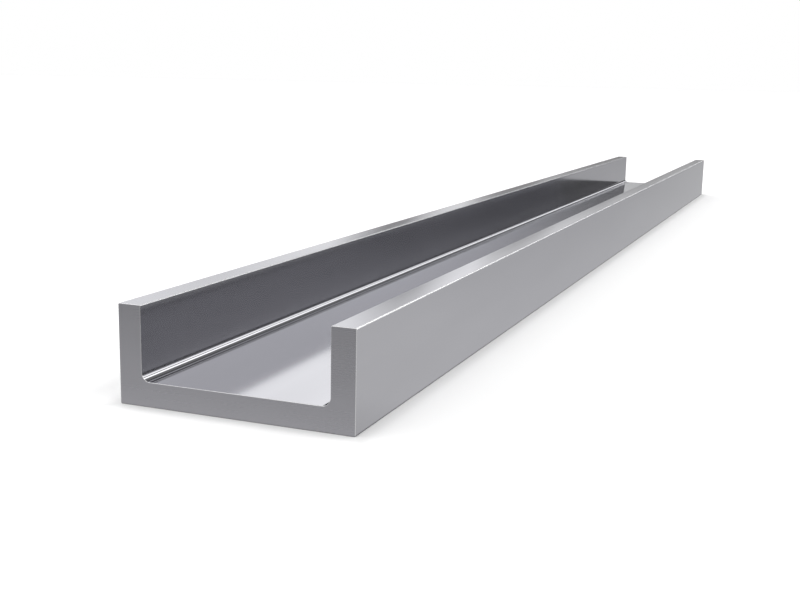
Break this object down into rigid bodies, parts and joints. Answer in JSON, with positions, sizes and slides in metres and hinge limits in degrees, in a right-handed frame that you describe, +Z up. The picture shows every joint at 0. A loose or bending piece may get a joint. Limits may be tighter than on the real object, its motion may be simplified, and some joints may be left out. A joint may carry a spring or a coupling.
{
  "type": "channel section",
  "caption": "Straight steel channel with parallel flanges, equal walls, square toes and small root fillets, sawn square at both ends.",
  "frame": {"origin": "middle of the web's underside, at half length and half width", "axes": "+Z up out of the open side between the flanges, +Y along the length, +X across the section"},
  "size_m": [0.1, 1, 0.04],
  "materials": {
    "steel": "bright drawn, smooth mill finish, sawn ends"
  },
  "bodies": {
    "root": {"channel": "steel"}
  },
  "joints": []
}
